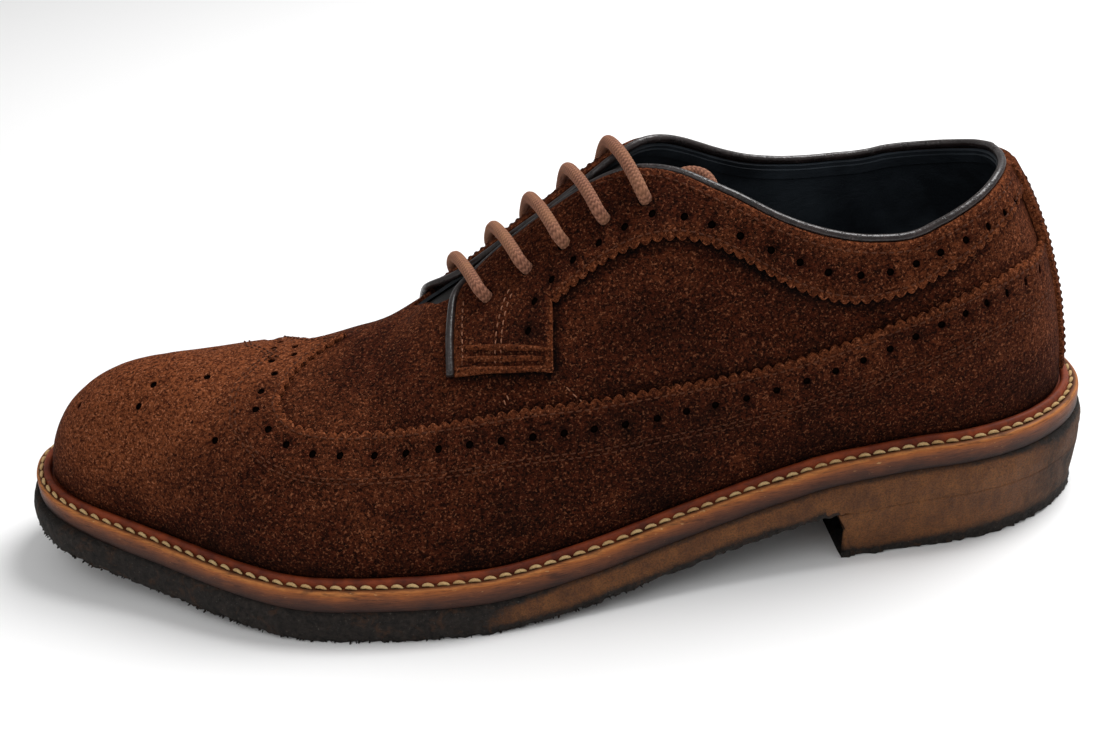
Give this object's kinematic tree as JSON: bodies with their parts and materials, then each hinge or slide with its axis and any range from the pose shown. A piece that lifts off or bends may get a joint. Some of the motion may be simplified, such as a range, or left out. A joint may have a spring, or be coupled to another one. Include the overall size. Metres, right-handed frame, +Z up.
{
  "type": "wingtip shoe",
  "caption": "Man's left long wing derby in brown suede with a welted crepe rubber sole, stacked leather edge, perforated overlays and a straight-barred cotton lace.",
  "frame": {"origin": "middle of the sole's outline, on the floor under the outsole and heel", "axes": "+X towards the heel along the shoe's length, +Y towards the inner side of the left foot, +Z up"},
  "size_m": [0.3104, 0.1092, 0.1148],
  "materials": {
    "suede": "dark reddish brown suede with a short mottled nap, lighter where rubbed",
    "lining_leather": "smooth black lining leather",
    "binding_leather": "thin rolled dark leather edge with a soft worn shine",
    "welt_leather": "burnished tan welt with cream lockstitching and dirt in the groove",
    "edge_leather": "grained tan leather edge, scuffed and stained",
    "crepe": "amber crepe rubber, dirty black along the forefoot and heel back",
    "lace": "round woven cotton cord in pinkish tan"
  },
  "bodies": {
    "root": {"outsole": "crepe", "heel": "crepe", "midsole": "edge_leather", "welt": "welt_leather", "insole": "lining_leather", "upper": "suede", "tongue": "lining_leather", "wing_cap": "suede", "facing_outer": "suede", "facing_inner": "suede", "backstay": "suede", "topline_binding": "binding_leather", "lace_bar_1": "lace", "lace_bar_2": "lace", "lace_bar_3": "lace", "lace_bar_4": "lace", "lace_bar_5": "lace", "lace_tail": "lace"}
  },
  "joints": []
}
